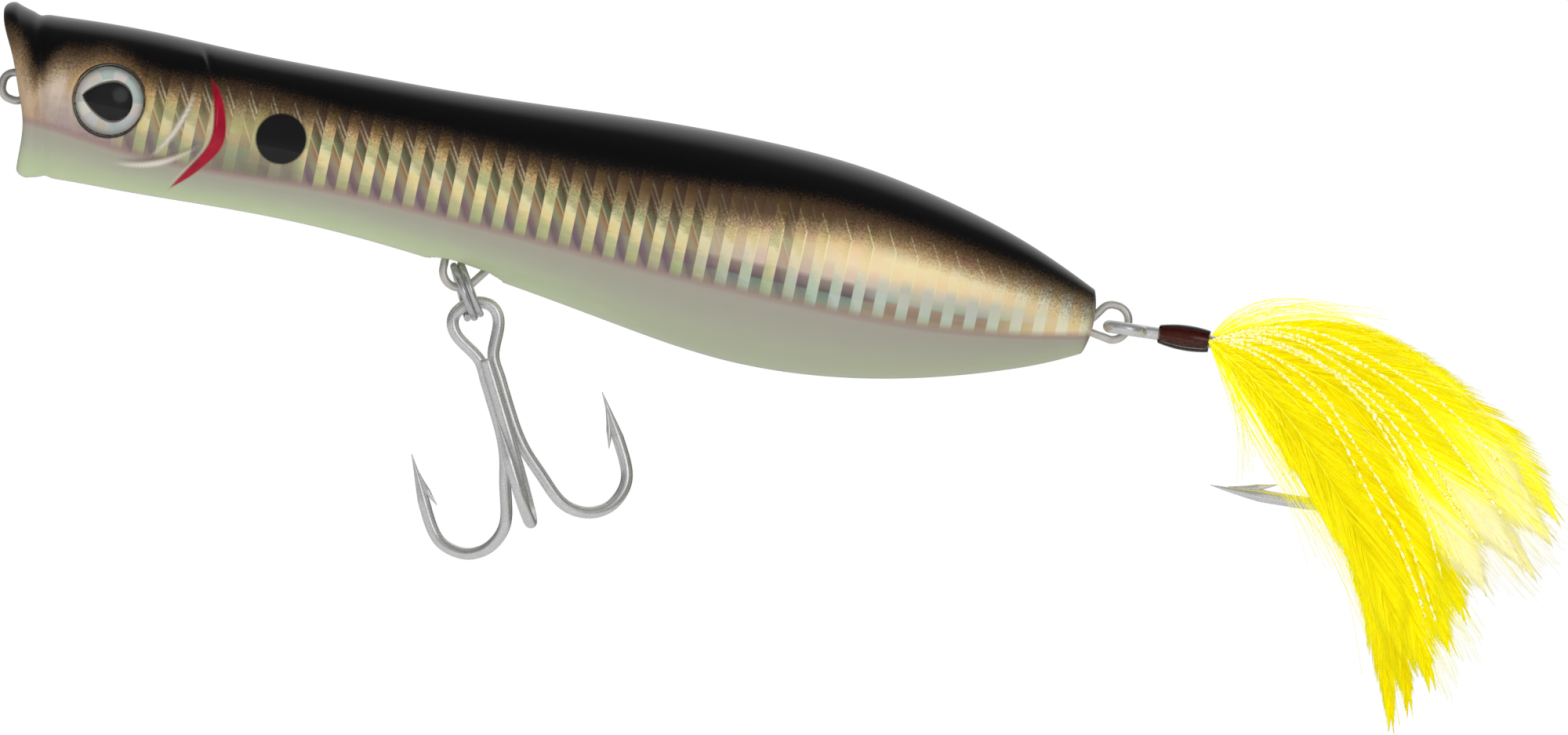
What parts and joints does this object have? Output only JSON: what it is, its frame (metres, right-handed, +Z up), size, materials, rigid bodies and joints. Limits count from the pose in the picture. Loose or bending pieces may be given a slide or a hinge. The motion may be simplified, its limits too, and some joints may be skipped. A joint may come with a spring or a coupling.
{
  "type": "topwater popper",
  "caption": "Floating surface fishing lure with a cupped mouth, wire line tie, belly treble on a split ring and a feather-dressed tail hook.",
  "frame": {"origin": "centre of the line-tie eye at the nose", "axes": "+X along the body from the nose to the tail, +Y out of the right flank, +Z up through the back"},
  "size_m": [0.2444, 0.0334, 0.0712],
  "materials": {
    "painted_plastic": "glossy lacquer over black back and pearl belly",
    "holographic_film": "hot-stamped holographic film in gold bars",
    "stainless_wire": "drawn stainless wire",
    "ballast_steel": "turned steel",
    "race_plastic": "natural moulded plastic",
    "ball_steel": "polished steel ball",
    "eye_print": "printed holographic disc with black pupil",
    "clear_resin": "clear domed resin",
    "ring_steel": "bright spring steel",
    "hook_steel": "satin tinned steel",
    "tying_thread": "dark red tying thread",
    "clear_varnish": "clear gloss varnish",
    "yellow_hackle": "dyed yellow hackle",
    "pearl_tinsel": "twisted pearl tinsel"
  },
  "bodies": {
    "lure_body": {"shell_left": "painted_plastic", "shell_right": "painted_plastic", "flank_film_left": "holographic_film", "flank_film_right": "holographic_film", "through_wire": "stainless_wire", "ballast_slug": "ballast_steel", "ball_race_tube": "race_plastic", "eye_disc_left": "eye_print", "eye_disc_right": "eye_print", "eye_lens_left": "clear_resin", "eye_lens_right": "clear_resin"},
    "ball": {"casting_ball": "ball_steel"},
    "belly_ring": {"belly_split_ring": "ring_steel"},
    "treble": {"treble_double_hook": "hook_steel", "treble_third_hook": "hook_steel"},
    "tail_dressing": {"tail_hook": "hook_steel", "thread_whipping": "tying_thread", "whipping_varnish": "clear_varnish", "hackle_feather_1": "yellow_hackle", "hackle_feather_2": "yellow_hackle", "hackle_feather_3": "yellow_hackle", "hackle_feather_4": "yellow_hackle", "hackle_feather_5": "yellow_hackle", "hackle_feather_6": "yellow_hackle", "hackle_feather_7": "yellow_hackle", "hackle_feather_8": "yellow_hackle", "flash_strands": "pearl_tinsel"}
  },
  "joints": [
    {"name": "ball_roll", "type": "slide", "parent": "lure_body", "child": "ball", "axis": [1, 0, 0], "range_m": [0, 0.0425]},
    {"name": "ring_side_swing", "type": "hinge", "parent": "lure_body", "child": "belly_ring", "pos_m": [0.0724, 0, -0.0157], "axis": [0.866, 0, 0.5], "range_deg": [-60, 60]},
    {"name": "treble_fore_aft_swing", "type": "hinge", "parent": "belly_ring", "child": "treble", "pos_m": [0.07485, 0, -0.01955], "axis": [0, 1, 0], "range_deg": [-25, 50]},
    {"name": "tail_hook_swing", "type": "hinge", "parent": "lure_body", "child": "tail_dressing", "pos_m": [0.16875, 0, -0.0008], "axis": [0, 1, 0], "range_deg": [-60, 60]}
  ]
}
